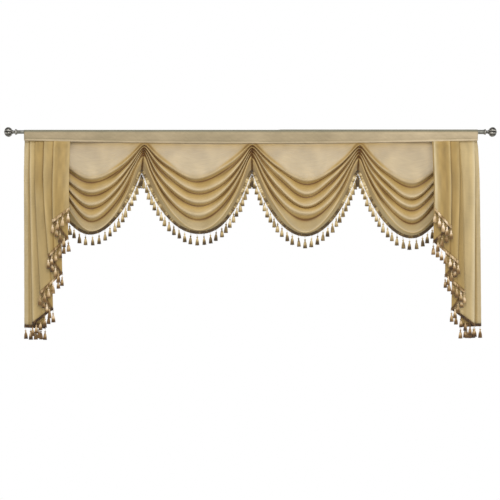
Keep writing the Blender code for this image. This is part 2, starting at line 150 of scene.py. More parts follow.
def voileMaterial(name, look):
    # polyester voile, plain woven and satin finished: see-through in one layer. The fold value paints
    # its light and shade: golden painted shade in the tucks, painted highlights on the crests, where
    # its filament threads catch the light
    material, tree, shader = newMaterial(name, {
        "Roughness": look["roughness"], "Sheen Weight": 0.25, "Sheen Roughness": 0.4,
        "Specular IOR Level": 0.35})
    fold, layer, doubled = [addNode(tree, "ShaderNodeAttribute", {"attribute_name": key})
                            for key in ("fold", "layer", "doubled")]
    uv = addNode(tree, "ShaderNodeUVMap")
    inMm = addNode(tree, "ShaderNodeMapping", {"Scale": (*look["flatMm"], 1)}, {"Vector": uv})
    # slubs are thick lengths of thread, 3 mm by 40 mm, that run across the cloth, and patches are
    # broad differences in how closely threads lie; drawn out along the hang in the tails they
    # also paint light and shade streaks of soft folds
    noises = []
    for scale, detail in ((weave["slubs"], 2.0), (look["patches"], 1.0)):
        spread = addNode(tree, "ShaderNodeMapping", {"Scale": (*scale, 1)}, {"Vector": inMm})
        noise = {"Scale": 1.0, "Detail": detail}
        noises.append(addNode(tree, "ShaderNodeTexNoise", noise, {"Vector": spread}))
    ramp = addNode(tree, "ShaderNodeValToRGB", {}, {"Fac": fold.outputs["Fac"]})
    colour = rampStops(ramp, look["colours"])
    unevenness = addNode(tree, "ShaderNodeMath", {"operation": "MULTIPLY_ADD", 1: look["slubbed"]},
                         {0: noises[0], 2: noises[1]})
    middle = (1 + look["slubbed"]) / 2
    shade = addNode(tree, "ShaderNodeMapRange", {
        "From Min": middle - weave["spread"], "From Max": middle + weave["spread"],
        "To Min": 1 - look["uneven"], "To Max": 1 + look["uneven"]}, {"Value": unevenness})
    # where a hem doubles the cloth it looks greyer
    greyed = addNode(tree, "ShaderNodeMix", {"data_type": "RGBA", 7: toLinear(look["greyer"])},
                     {"Factor": doubled.outputs["Fac"], 6: colour})
    toned = addNode(tree, "ShaderNodeVectorMath", {"operation": "SCALE"},
                    {"Vector": greyed.outputs[2], "Scale": shade})
    cover = addNode(tree, "ShaderNodeMapRange", {"To Min": look["sheer"], "To Max": look["dense"]},
                    {"Value": layer.outputs["Fac"]})
    # threads are 0.25 mm apart, too fine to show, so the ribs are drawn 1.2 mm apart
    ribs = addNode(tree, "ShaderNodeTexWave", {
        "Scale": weave["ribScale"], "bands_direction": "Y", "Distortion": weave["ribWander"]},
        {"Vector": inMm})
    bump = addNode(tree, "ShaderNodeBump", {
        "Strength": weave["ribStrength"], "Distance": weave["ribDepth"] * mm},
        {"Height": ribs.outputs["Fac"]})
    connect(tree, shader, {"Base Color": toned, "Alpha": cover, "Normal": bump})
    return material


# what all the yarn shares: how often its strands and its dye change in a metre
spinning = {"strands": (1100, 1100, 65), "dye": 45.0, "dyeFrom": 0.3, "dyeTo": 0.7, "toneShare": 0.25,
            "strength": 0.5, "depth": 0.4}


def yarnMaterial(name, look):
    # rayon yarn, plied and cut: soft lengthwise fibres with a little lustre
    material, tree, shader = newMaterial(name, {
        "Roughness": look["roughness"], "Sheen Weight": 0.35, "Sheen Roughness": 0.5,
        "Specular IOR Level": 0.3})
    place = addNode(tree, "ShaderNodeTexCoord")
    # strands 0.9 mm across hang upright, and their shade changes every 15 mm along
    along = addNode(tree, "ShaderNodeMapping", {"Scale": spinning["strands"]},
                    {"Vector": place.outputs["Object"]})
    strands = addNode(tree, "ShaderNodeTexNoise", {"Scale": 1.0, "Detail": 2.0}, {"Vector": along})
    # whole tassels differ from each other, 20 to 30 mm apart
    dye = addNode(tree, "ShaderNodeTexNoise", {"Scale": spinning["dye"], "Detail": 0.0},
                  {"Vector": place.outputs["Object"]})
    varied = addNode(tree, "ShaderNodeMapRange", {
        "From Min": spinning["dyeFrom"], "From Max": spinning["dyeTo"],
        "To Min": 0.5 - look["varied"], "To Max": 0.5 + look["varied"]}, {"Value": dye})
    both = addNode(tree, "ShaderNodeMath", {"operation": "ADD"}, {0: strands, 1: varied})
    # the piece's own fold value darkens the yarn: painted shade at the tassels' cut ends, at the swags'
    # foot and joints and on the lowest tail layers, and the braid's brown wrong side
    brownAndShade = addNode(tree, "ShaderNodeAttribute", {"attribute_name": "fold"})
    depthOfDye = addNode(tree, "ShaderNodeMath", {"operation": "MULTIPLY_ADD", 1: spinning["toneShare"]},
                         {0: both, 2: brownAndShade.outputs["Fac"]})
    ramp = addNode(tree, "ShaderNodeValToRGB", {}, {"Fac": depthOfDye})
    colour = rampStops(ramp, look["colours"])
    bump = addNode(tree, "ShaderNodeBump", {
        "Strength": spinning["strength"], "Distance": spinning["depth"] * mm}, {"Height": strands})
    connect(tree, shader, {"Base Color": colour, "Normal": bump})
    return material


# what both pewters share: rubbed patches and a fine grain, as often as they come in a metre
plating = {"rubs": 90.0, "inFlutes": 0.06, "glossier": 0.08, "duller": 0.1, "grain": 900.0,
           "strength": 0.15, "depth": 0.1}


def pewterMaterial(name, look):
    # zinc casting, plated and antiqued to pewter: dark in the flutes, rubbed bright on the ribs
    material, tree, shader = newMaterial(name, {"Metallic": 1.0, "Roughness": look["roughness"]})
    place = addNode(tree, "ShaderNodeTexCoord")
    rubs = addNode(tree, "ShaderNodeTexNoise", {"Scale": plating["rubs"], "Detail": 3.0},
                   {"Vector": place.outputs["Object"]})
    ramp = addNode(tree, "ShaderNodeValToRGB", {}, {"Fac": rubs})
    colour = rampStops(ramp, look["colours"])
    flute = addNode(tree, "ShaderNodeAttribute", {"attribute_name": "fold"})
    darker = addNode(tree, "ShaderNodeMapRange", {"To Min": 1.0, "To Max": plating["inFlutes"]},
                     {"Value": flute.outputs["Fac"]})
    toned = addNode(tree, "ShaderNodeVectorMath", {"operation": "SCALE"},
                    {"Vector": colour, "Scale": darker})
    gloss = addNode(tree, "ShaderNodeMapRange", {
        "To Min": look["roughness"] - plating["glossier"],
        "To Max": look["roughness"] + plating["duller"]}, {"Value": rubs})
    grain = addNode(tree, "ShaderNodeTexNoise", {"Scale": plating["grain"], "Detail": 2.0},
                    {"Vector": place.outputs["Object"]})
    bump = addNode(tree, "ShaderNodeBump", {
        "Strength": plating["strength"], "Distance": plating["depth"] * mm}, {"Height": grain})
    connect(tree, shader, {"Base Color": toned, "Roughness": gloss, "Normal": bump})
    return material


# Making sheets and turned pieces

def finish(piece, material, slot, *replaced):
    piece.data.materials.clear()
    piece.data.materials.append(material)
    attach(piece, "root")
    if replaced:
        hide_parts(*replaced)
    return piece


def addSheet(name, columns, rows, place, thickness):
    # place(across, down) gives a point, its tone with painted light and shade, how closely layered
    # it is and how far it is doubled by a hem
    bpy.ops.mesh.primitive_grid_add(x_subdivisions=columns, y_subdivisions=rows, size=2)
    piece = bpy.context.object
    piece.name = name
    piece.data.name = name
    points = []
    marks = {"fold": [], "layer": [], "doubled": []}
    for vert in piece.data.vertices:
        point, *values = place((vert.co.x + 1) / 2, (vert.co.y + 1) / 2)
        points.extend(point)
        for key, value in zip(marks, values):
            marks[key].append(value)
    piece.data.vertices.foreach_set("co", points)
    for key, values in marks.items():
        piece.data.attributes.new(key, "FLOAT", "POINT").data.foreach_set("value", values)
    bpy.ops.object.mode_set(mode="EDIT")
    bpy.ops.mesh.select_all(action="SELECT")
    bpy.ops.mesh.remove_doubles(threshold=0.01 * mm)
    bpy.ops.mesh.normals_make_consistent(inside=False)
    bpy.ops.object.mode_set(mode="OBJECT")
    solidify = piece.modifiers.new("solidify", "SOLIDIFY")
    solidify.thickness = thickness
    solidify.offset = 0
    bpy.ops.object.modifier_apply(modifier=solidify.name)
    bpy.ops.object.shade_smooth()
    return piece


def drawOut(name, sides, profile):
    # a disc drawn down through levels of (depth, radius) in mm, as a turned piece
    bpy.ops.mesh.primitive_circle_add(vertices=sides, radius=profile[0][1] * mm, fill_type="NGON",
                                      location=(0, 0, -profile[0][0] * mm))
    piece = bpy.context.object
    piece.name = name
    bpy.ops.object.mode_set(mode="EDIT")
    bpy.ops.mesh.select_all(action="SELECT")
    for (lastDepth, lastRadius), (depth, radius) in zip(profile, profile[1:]):
        bpy.ops.mesh.extrude_region_move(TRANSFORM_OT_translate={"value": (0, 0, (lastDepth - depth) * mm)})
        size = radius / lastRadius
        bpy.ops.transform.resize(value=(size, size, 1), center_override=(0, 0, -depth * mm))
    bpy.ops.mesh.select_all(action="SELECT")
    bpy.ops.mesh.normals_make_consistent(inside=False)
    bpy.ops.object.mode_set(mode="OBJECT")
    bpy.ops.object.transform_apply(location=True, rotation=True, scale=True)
    bpy.ops.object.shade_smooth()
    return piece


def joinPieces(pieces, name):
    bpy.ops.object.select_all(action="DESELECT")
    for piece in pieces:
        piece.select_set(True)
    bpy.context.view_layer.objects.active = pieces[0]
    bpy.ops.object.join()
    pieces[0].name = name
    pieces[0].data.name = name
    return pieces[0]


def copyOf(piece, turn):
    twin = bpy.data.objects.new(piece.name + "Copy", piece.data.copy())
    bpy.context.scene.collection.objects.link(twin)
    twin.data.transform(turn)
    return twin


# Camera, light and floor

view = {"aim": (-0.009, 0, -0.5175), "distance": 6.0, "lens": 98.5, "floor": -2.15, "floorSize": 5.4,
        "bandEnd": 0.24, "dimFrom": 0.5, "skyAbove": 0.5}
bpy.ops.object.camera_add(location=(view["aim"][0], -view["distance"], view["aim"][2]),
                          rotation=(math.pi / 2, 0, 0))
camera = bpy.context.object
camera.data.lens = view["lens"]
bpy.context.scene.camera = camera

lamps = [
    {"name": "keySoftbox", "place": (-0.2, -3.2, 2.6), "size": 1.6, "watts": 80},
    {"name": "fillSoftbox", "place": (3.2, -3.4, 0.4), "size": 2.5, "watts": 36},
]
for lamp in lamps:
    aim = Vector(view["aim"]) - Vector(lamp["place"])
    bpy.ops.object.light_add(type="AREA", location=lamp["place"],
                             rotation=aim.to_track_quat("-Z", "Y").to_euler())
    light = bpy.context.object
    light.name = lamp["name"]
    light.data.size = lamp["size"]
    light.data.energy = lamp["watts"]
world = bpy.data.worlds.new("whiteStudio")
bpy.context.scene.world = world
world.use_nodes = True
studio = world.node_tree
# a white band round the studio at eye level, dimmer above and below, as a lit wall
skyPlace = addNode(studio, "ShaderNodeTexCoord")
skyParts = addNode(studio, "ShaderNodeSeparateXYZ", {}, {"Vector": skyPlace.outputs["Generated"]})
skyHeight = addNode(studio, "ShaderNodeMath", {"operation": "ABSOLUTE"}, {0: skyParts.outputs[2]})
sky = addNode(studio, "ShaderNodeMapRange", {
    "From Min": view["bandEnd"], "From Max": view["dimFrom"], "To Min": 1.0, "To Max": view["skyAbove"]},
    {"Value": skyHeight})
connect(studio, studio.nodes["Background"], {1: sky})
studio.nodes["Background"].inputs[0].default_value = (1, 1, 1, 1)
bpy.context.scene.view_settings.view_transform = "Standard"

bpy.ops.mesh.primitive_grid_add(x_subdivisions=12, y_subdivisions=12, size=view["floorSize"],
                                location=(0, 0, view["floor"]))
floor = bpy.context.object
floor.name = "studioFloor"
bpy.ops.object.transform_apply(location=True, rotation=True, scale=True)
# emulsion paint on boards: matt, with faint roller texture
floorPaint, floorTree, floorShader = newMaterial("mattFloorPaint", {
    "Roughness": 0.8, "Base Color": toLinear("f2f0ec")})
rollerPlace = addNode(floorTree, "ShaderNodeTexCoord")
roller = addNode(floorTree, "ShaderNodeTexNoise", {"Scale": 120.0},
                 {"Vector": rollerPlace.outputs["Object"]})
rollerBump = addNode(floorTree, "ShaderNodeBump", {"Strength": 0.05}, {"Height": roller})
connect(floorTree, floorShader, {"Normal": rollerBump})
floor.data.materials.append(floorPaint)
print("studio ready")


# Rod and finials

rod = {"left": -1030, "right": 1016, "thinRadius": 8.0, "wideRadius": 9.5, "step": 127, "fit": 0.3}
# every level is a distance from the tube's end and a radius, in mm: the socket has a rolled rim,
# the waisted neck a bead and the ball a small button at its tip
finial = {
    "sides": 80, "flutes": 8, "fluteDepth": 0.19, "fluteRun": 4, "fluteRound": 0.7,
    "socket": [(0, 10.6), (2.4, 10.8), (3.4, 12.0), (4.4, 12.6), (7.2, 12.6), (8.2, 11.8)],
    "socketEnd": 9.0,
    "neck": [(10.4, 7.4), (13, 6.9), (16, 6.9), (18.2, 7.4), (19.2, 8.8), (20.2, 9.3), (21.0, 8.9),
             (21.5, 8.4)],
    "ballStart": 21, "ballLength": 36, "ballRadius": 22, "ballRings": 26, "ballFrom": 0.33,
    "ballInset": 0.8, "tipInset": 1.2, "button": [(0, 4.2), (0.5, 4.4), (1.0, 3.4), (1.2, 0.8)],
    "neckFrom": 9.5, "neckTone": 0.4, "darkFrom": 0.16, "darkRun": 0.45,
}

satinPewter = pewterMaterial("satinPewterPlate", {
    "roughness": 0.34, "colours": [(0.3, "6d6c64"), (0.7, "96958b")]})
darkPewter = pewterMaterial("antiquedPewterCasting", {
    "roughness": 0.3, "colours": [(0.3, "6b6862"), (0.7, "b3b0a7")]})
for node in ("rod_thin_tube", "rod_wide_tube"):
    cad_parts[node].data.materials.clear()
    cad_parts[node].data.materials.append(satinPewter)


def makeFinial(node, place, facing, tubeRadius):
    start, length = finial["ballStart"], finial["ballLength"]
    tip = start + length - finial["tipInset"]
    profile = [*finial["socket"], (finial["socketEnd"], tubeRadius), *finial["neck"]]
    for i in range(1, finial["ballRings"] - 1):
        angle = mix(finial["ballFrom"], math.pi, i / finial["ballRings"])
        profile.append((start + length * (0.5 - 0.5 * math.cos(angle)) - finial["ballInset"],
                        finial["ballRadius"] * math.sin(angle)))
    profile += [(tip + along, radius) for along, radius in finial["button"]]
    piece = drawOut(node + "Casting", finial["sides"], profile)
    cuts = []
    for vert in piece.data.vertices:
        along = -vert.co.z / mm
        dark = finial["neckTone"] if finial["neckFrom"] < along < start else 0.0
        if start + 0.6 < along < tip - 0.2:
            turn = math.atan2(vert.co.y, vert.co.x) * finial["flutes"] / 2
            cut = 1 - abs(math.sin(turn)) ** finial["fluteRound"]
            cut *= rise(along, start, finial["fluteRun"]) * ease((tip - along) / finial["fluteRun"])
            vert.co.x *= 1 - finial["fluteDepth"] * cut
            vert.co.y *= 1 - finial["fluteDepth"] * cut
            dark = rise(cut, finial["darkFrom"], finial["darkRun"])
        cuts.append(dark)
    piece.data.attributes.new("fold", "FLOAT", "POINT").data.foreach_set("value", cuts)
    turned = Matrix.Rotation(-math.pi / 2 * facing, 4, "Y")
    piece.data.transform(Matrix.Translation(place) @ turned)
    return finish(piece, darkPewter, "pewter", node)


makeFinial("finial_left", Vector(((rod["left"] - rod["fit"]) * mm, 0, 0)), -1, rod["thinRadius"])
makeFinial("finial_right", Vector(((rod["right"] + rod["fit"]) * mm, 0, 0)), 1, rod["wideRadius"])
print("rod and finials ready")


# Header: the rod pocket with its stitch line

header = {
    "left": -999, "right": 989, "endDrop": 38, "sag": 12, "bays": 260, "around": 64,
    "tailHalfDepth": 8.5, "swagHalfDepth": 3.5, "slimming": 200, "tailInner": 797,
    "stepRun": 14, "looseness": 0.95, "turn": 15, "inset": 0.5, "sideDrop": 4, "taper": 0.7,
    "footRise": 2, "footInset": 1.2, "cloth": 0.5,
    "stitchRise": 9.5, "stitchPinch": 1.1, "pinchWidth": 1.6, "stitchPitch": 4.2, "stitchSunk": 0.45,
    "stitchEnd": 4, "slackBelow": 14, "pucker": 0.35, "sway": 0.5, "ripple": 0.5,
    "rippleEvery": 0.034, "rippleWaver": 0.01, "rippleDown": 9, "thinnerBelow": 0.35,
}
# tones from 0 for the darkest cloth to 1 for the palest, with painted shade over the rod and in the
# stitch line's pinch and a painted highlight below the stitch line
headerTone = {"face": 0.5, "rightEnd": (0.25, 0.25, 0.5), "overRod": (-1, -5, 9), "belowStitch": 0.2,
              "stitch": (0.3, 0, 1.3), "worn": 0.07, "wornDown": 3.1, "faded": 0.08}
headerPucker = waver(5, (31, 53, 87))
headerSway = waver(6, (5, 9, 14))


def headerDrop(x):
    return (header["endDrop"] + header["sag"] * (1 - (x / mm / header["right"]) ** 2)) * mm


def headerHalfDepth(x):
    pastTail = rise(abs(x) / mm, header["tailInner"] - header["slimming"], header["slimming"])
    return mix(header["swagHalfDepth"], header["tailHalfDepth"], pastTail) * mm


def pocketRadius(x):
    # from the rod's axis to the middle of the cloth over it, eased over the rod's step
    overStep = rise(x / mm, rod["step"] - header["stepRun"], header["stepRun"])
    tube = mix(rod["thinRadius"], rod["wideRadius"], overStep)
    return (tube + header["looseness"]) / math.cos(math.radians(header["turn"])) * mm


def headerSection(x):
    # depth and height of the pocket's middle line at x, clockwise from the top
    radius = pocketRadius(x)
    bottom = -headerDrop(x) + header["inset"] * mm
    front = headerHalfDepth(x) - header["inset"] * mm
    turns = [math.radians(header["turn"] * k) for k in (1, 3, 5)]
    half = [(radius * math.sin(turn), radius * math.cos(turn)) for turn in turns]
    half.append((radius, -header["sideDrop"] * mm))
    half.append((mix(radius, front, header["taper"]), bottom * header["taper"]))
    half.append((front, bottom + header["footRise"] * mm))
    half.append((front - header["footInset"] * mm, bottom))
    return half + [(-depth, height) for depth, height in reversed(half)]


def sectionPoint(section, turn):
    count = len(section)
    place = turn * count
    i = int(place)
    around = [section[(i + k - 1) % count] for k in range(4)]
    return [bendThrough(*[point[axis] for point in around], place - i) for axis in (0, 1)]


def headerPlace(across, down):
    x = mix(header["left"], header["right"], across) * mm
    depth, height = sectionPoint(headerSection(x), down % 1.0)
    below = ease(-height / (header["slackBelow"] * mm))
    fromStitch = (height + headerDrop(x)) / mm - header["stitchRise"]
    pinch = header["stitchPinch"] * hump(fromStitch, 0, header["pinchWidth"])
    pucker = (header["pucker"] * headerPucker(x * 9) + header["sway"] * headerSway(x * 3)) * below
    depth += math.copysign(1, depth) * (pucker - pinch) * mm if abs(depth) > 1.5 * mm else 0
    every = header["rippleEvery"] + header["rippleWaver"] * headerSway(x * 2)
    ripple = header["ripple"] * math.sin(x / every + height / (header["rippleDown"] * mm))
    depth += ripple * below * mm * math.copysign(1, depth)
    # over the rod the cloth is stretched, and darker with painted shade where it curves back, with the
    # grey rod showing through; the stitch line's pinch gets painted shade, and below it a painted
    # highlight makes the cloth palest, lifting the shade along the header's foot
    look = headerTone
    worn = look["worn"] * headerPucker(x * 5 + 3) * math.sin(height / (look["wornDown"] * mm))
    face = look["face"] + ramps(x, look["rightEnd"]) + worn + look["faded"] * headerSway(x * 2.2 + 4)
    tone = face * (1 + ramps(height / mm, look["overRod"])) - streaks(fromStitch, look["stitch"])
    tone += look["belowStitch"] * ease(-fromStitch / 3)
    return (x, -depth, height), tone, 1.0 - header["thinnerBelow"] * below, 0.0


headerVoile = voileMaterial("doubledPolyesterVoile", {
    "roughness": 0.6, "flatMm": (1988, 118), "sheer": 0.72, "dense": 0.97, "uneven": 0.1, "slubbed": 0.8,
    "patches": (0.014, 0.07), "greyer": "b5a585",
    "colours": [(0.0, "787562"), (0.25, "928668"), (0.5, "ab9a7a"), (1.0, "cdba98")]})
headerBand = addSheet("headerBand", header["bays"], header["around"], headerPlace, header["cloth"] * mm)
finish(headerBand, headerVoile, "header_voile", "header_pocket")

# lockstitch: short lengths of twisted thread that dip into the cloth between them
oneStitch = drawOut("stitch", 6, [(0, 0.08), (0.25, 0.3), (1.4, 0.36), (2.55, 0.3), (2.8, 0.08)])
stitchTurn = Matrix.Rotation(math.pi / 2, 4, "Y")
stitches = []
stitchCount = int((header["right"] - header["left"] - 2 * header["stitchEnd"]) / header["stitchPitch"])
for i in range(stitchCount):
    x = (header["left"] + header["stitchEnd"] + i * header["stitchPitch"]) * mm
    height = header["stitchRise"] * mm - headerDrop(x)
    shareDown = height / -headerDrop(x)
    front = headerHalfDepth(x) - header["inset"] * mm
    side = mix(pocketRadius(x), front, min(shareDown, header["taper"]))
    side = mix(side, front, rise(shareDown, header["taper"], 0.25))
    depth = side - (header["stitchPinch"] - header["stitchSunk"]) * mm
    stitches.append(copyOf(oneStitch, Matrix.Translation((x, -depth, height)) @ stitchTurn))
bpy.data.objects.remove(oneStitch)
stitchLine = joinPieces(stitches, "headerStitches")
stitchYarn = yarnMaterial("spunPolyesterThread", {
    "roughness": 0.7, "varied": 0.2, "colours": [(0.3, "a08a5c"), (0.7, "8d7a54")]})
finish(stitchLine, stitchYarn, "header_voile")
print("header ready")


# Swags

# belly, seamCrest and seamValley have a second number for a swag's end behind a tail, and edge and
# parting say where a change starts and how far it runs
swag = {
    "bay": 472, "seamFit": 0.05, "jointLean": (0, -11, 0, -9, 0), "leanFrom": 55, "leanTo": 170,
    "topInset": 0.8, "headerLap": 1.5, "panelBulge": 1.8, "tuckDepth": 15, "tuckEarly": 0.62, "lip": 3.0,
    "belly": (2.4, 1.2), "seamCrest": (10, 0.5), "seamValley": (5.5, -2.5), "knob": 0.09,
    "knobReach": 0.12, "tightPower": 1.6, "waverDrop": 2.6, "waverDepth": 2.4, "split": 5.5,
    "edgeTurn": 6, "edge": (0.972, 0.028), "parting": (4.6, 0.6), "foldedEdge": 0.2, "cloth": 0.5,
    "columns": 150, "rowsPanel": 16, "rowsFold": 24, "crowding": 1.5, "sweep": 72,
}
# smaller folds part each fold towards the joints: how far down each lies, its width, where it
# starts and how far it grows, how deep it is and how uneven
swagSplits = [(0.58, 0.09, (0.3, 0.4), 0.7, 0.5), (0.82, 0.06, (0.55, 0.3), 0.5, 0.7)]
# Tones run from 0, the palest cloth, to 1, the brownest, and paint light and shade: painted
# highlights on ridges, painted shade under them, under the header and towards the joints. A streak
# is its strength, middle and width, in mm of drop or in shares of a fold's height, and a change is
# its amount, start and run.
swagTone = {
    "panel": 0.12, "panelGatherShade": 0.2, "underHeader": 0.34, "headerFade": 22,
    "panelHead": (-0.4, 0, 3), "panelRise": (0.16, 5, 4), "panelCrease": (0.42, 10, 6),
    "creased": (1, 0.3, 0.35), "uncreased": (-1, 0.85, 0.15),
    "face": 0.4, "line": (0.5, 0.35), "lineWidth": (0.1, 0.15), "outer": (1, 0.3, 0.4), "split": 0.66,
    "ridges": [(-0.38, 0, 0.065), (-0.38, 1, 0.09), (0.16, 0.5, 0.2)], "fineCreaseShade": (0.08, 0.78, 0.06),
    "hemPaler": 0.1, "mottle": 0.08, "gatherShade": 0.05, "joint": (0.3, 0.9, 0.1),
    "knot": (0.62, 84, 19), "knotWidth": 22,
    "flap": 0.46, "flapDown": (0.2, 0, 0.6), "flapRidge": (-0.4, 0, 0.09), "flapMottle": 0.12,
    "flapAside": [(0.2, 0.4, 0.4), (0.5, 0.984, 0.014)],
}
# how closely the threads cover: a panel is one sheer layer, and a hem doubles the cloth; the closer
# cover under the header is partly painted shade
swagCover = {
    "panel": 0.1, "underHeader": 0.6, "riseAbove": 2, "riseRun": (6, 28), "joint": (1, 0.8, 0.2),
    "hemAbove": (0.5, 0.42, 0.2), "hem": (0.85, 0.1, 0.25), "hemThins": (-0.5, 0.45, 0.45),
    "hemEnds": (-1, 0.97, 0.025),
}
# each row is a fold crest, the last one the hem: its drop at the left joint, left quarter,
# middle, right quarter and right joint, then its depth, in mm
swagFolds = {
    1: [(70, 138, 203, 163, 55, 28), (79, 191, 262, 216, 66, 35), (88, 221, 318, 257, 77, 38),
        (98, 246, 371, 292, 88, 39), (112, 294, 430, 362, 110, 34), (167, 351, 440, 372, 167, 28)],
    2: [(55, 149, 203, 150, 55, 28), (66, 186, 256, 210, 68, 35), (76, 238, 306, 253, 79, 38),
        (87, 287, 361, 295, 90, 39), (108, 333, 429, 357, 108, 34), (167, 369, 437, 385, 167, 28)],
    3: [(55, 153, 209, 168, 57, 28), (68, 185, 267, 202, 71, 35), (81, 237, 324, 250, 84, 38),
        (95, 286, 358, 294, 98, 39), (118, 345, 439, 349, 118, 34), (169, 379, 448, 378, 169, 28)],
    4: [(57, 167, 221, 152, 70, 28), (73, 209, 286, 188, 79, 35), (88, 249, 325, 226, 88, 38),
        (101, 299, 382, 268, 98, 39), (118, 351, 441, 333, 112, 34), (169, 387, 456, 362, 167, 28)],
}


def jointX(joint, drop):
    share = min((drop / mm - swag["leanFrom"]) / (swag["leanTo"] - swag["leanFrom"]), 1)
    return ((joint - 2) * swag["bay"] + swag["jointLean"][joint] * share) * mm


def swagPanel(drop, top, lowerDrop, u, aside):
    # painted shade close under the header, where the threads cover more, and towards the joints, a
    # painted highlight along the top edge, painted shade where the first fold rises, where the cloth
    # is also thicker, and painted shade in a crease above that fold towards the joints
    tone, cover = swagTone, swagCover
    shaded = math.exp(-max(drop - top, 0) / tone["headerFade"])
    above = (1 - u) * (lowerDrop - top)
    below = u * (lowerDrop - top)
    side = ramps(aside, tone["creased"])
    creased = side * (1 + ramps(aside, tone["uncreased"]))
    fold = tone["panel"] + tone["panelGatherShade"] * aside ** (2 * swag["tightPower"])
    fold += tone["underHeader"] * shaded + streaks(below, tone["panelHead"])
    fold += streaks(above, tone["panelCrease"]) * creased + streaks(above, tone["panelRise"])
    risen = 1 - rise(above, cover["riseAbove"], mix(*cover["riseRun"], side))
    return fold, max(risen, ramps(aside, cover["joint"]), cover["underHeader"] * shaded, cover["panel"])


def swagFold(k, u, v, s, split, wavers, hidden):
    # a painted highlight on the ridge falls off into a painted shade line a third of the way down;
    # the splits and the joints get painted shade, and a fine crease painted light and shade that
    # changes along it
    tone, aside = swagTone, abs(s)
    outer = ramps(aside, tone["outer"])
    width = mix(*tone["lineWidth"], outer * hidden)
    fold = tone["face"] + streaks(u, (*tone["line"], width), *tone["ridges"])
    fold += streaks(u, tone["fineCreaseShade"]) * wavers[k](s * 1.7 + 4)
    fold += tone["split"] * split + tone["mottle"] * wavers[k](s * 2.1 + 9)
    fold += tone["gatherShade"] * aside ** swag["tightPower"] + ramps(aside, tone["joint"]) * rise(v, 1.5, 2)
    # the hem's upper layer reaches up to the last fold in the middle of the swag
    doubled = ramps(u, swagCover["hemAbove"]) * (1 - outer) if k == len(wavers) - 2 else 0.0
    return fold - tone["hemPaler"] * doubled, doubled


def swagFlap(k, u, s, wavers):
    # under the last ridge the flap turns away into painted shade, with a painted highlight on the
    # ridge and painted shade towards the joints, and its hem is doubled and greyer
    tone, cover, aside = swagTone, swagCover, abs(s)
    fold = tone["flap"] + ramps(u, tone["flapDown"]) + streaks(u, tone["flapRidge"])
    fold += tone["flapMottle"] * wavers[k](s * 3 + u * 2) + ramps(aside, *tone["flapAside"])
    doubled = ramps(u, cover["hem"]) * (1 + ramps(aside, cover["hemThins"]))
    return fold, doubled * (1 + ramps(aside, cover["hemEnds"]))


def swagPoint(number, s, v):
    # v counts the folds down the swag: 0 is the top edge, 1 the first crest, 6 the hem
    folds = swagFolds[number]
    wavers = crestWavers[number]
    hidden = (number == 1 and s < 0) or (number == 4 and s > 0)
    aside = abs(s)
    belly = 1 - aside ** swag["belly"][hidden]
    seamCrest = swag["seamCrest"][hidden]
    seamValley = swag["seamValley"][hidden]
    middleX = ((number - 2.5) * swag["bay"] + s * swag["bay"] / 2) * mm
    # beside a joint the folds round over before they part, as on a gathered knob
    toJoint = 1 - aside
    rounded = s
    if toJoint:
        knob = swag["knob"] * math.exp(-toJoint / swag["knobReach"])
        rounded = math.copysign(1 - toJoint ** 2 / (toJoint + knob), s)
    free = min(1.0, 3 * toJoint) * belly

    def crest(k):
        drop = throughStations(folds[k][:5], rounded)
        depth = mix(seamCrest, folds[k][5], belly)
        if k < len(folds) - 1:
            drop += swag["waverDrop"] * free * wavers[k](s)
            depth += swag["waverDepth"] * free * wavers[k](s * 1.3 + 2)
        return drop, depth

    k = min(int(v), len(folds) - 1)
    u = v - k
    layer, doubled = 1.0, 0.0
    lowerDrop, lowerDepth = crest(k)
    if k == 0:
        top = headerDrop(middleX) / mm
        topDepth = swag["topInset"] - headerHalfDepth(middleX) / mm
        drop = mix(top - swag["headerLap"], lowerDrop, u)
        depth = mix(topDepth, lowerDepth, math.sin(math.pi / 2 * u ** swag["panelBulge"]))
        fold, layer = swagPanel(drop, top, lowerDrop, u, aside)
    else:
        upperDrop, upperDepth = crest(k - 1)
        drop = mix(upperDrop, lowerDrop, u)
        depth = mix(upperDepth, lowerDepth, ease(u))
        if k < len(folds) - 1:
            turn = u ** swag["tuckEarly"]
            tuck = 0.5 - 0.5 * math.cos(2 * math.pi * turn)
            depth -= tuck * mix(seamCrest - seamValley, swag["tuckDepth"], belly)
            split = 0.0
            for i, (at, width, span, mean, uneven) in enumerate(swagSplits):
                amount = mean + uneven * wavers[k](s + 5 + 3 * i)
                split += rise(aside, *span) * amount * hump(u, at, width)
            depth -= swag["split"] * split
            drop += swag["lip"] * free * math.sin(2 * math.pi * turn)
            fold, doubled = swagFold(k, u, v, s, split, wavers, hidden)
        else:
            fold, doubled = swagFlap(k, u, s, wavers)
        if not hidden:
            # where the pleats are stitched together at the joint the cloth is darkest, with more cloth
            # there and painted shade among the gathered pleats
            fold += streaks(drop, swagTone["knot"]) * hump(toJoint * swag["bay"], 0, swagTone["knotWidth"])
        fold = min(max(fold, 0.0), 1.0)
    # the flaps part at a seam between two swags, and the folds above run on over it
    parted = mix(swag["foldedEdge"], 1, rise(v, *swag["parting"]))
    depth -= swag["edgeTurn"] * rise(aside, *swag["edge"]) * parted
    left = jointX(number - 1, drop * mm) + swag["seamFit"] * mm
    right = jointX(number, drop * mm) - swag["seamFit"] * mm
    return Vector((mix(left, right, (s + 1) / 2), -depth * mm, -drop * mm)), fold, layer, doubled


def swagRow(share):
    # rows crowd under each ridge, where the cloth turns in, and the panel takes few of them
    panel = swag["rowsPanel"]
    row = share * (panel + 5 * swag["rowsFold"])
    if row <= panel:
        return row / panel
    fold = (row - panel) / swag["rowsFold"]
    return 1 + int(fold) + (fold - int(fold)) ** swag["crowding"]


def swagS(across):
    # columns crowd towards the joints
    sweep = math.radians(swag["sweep"])
    return math.sin((across * 2 - 1) * sweep) / math.sin(sweep)


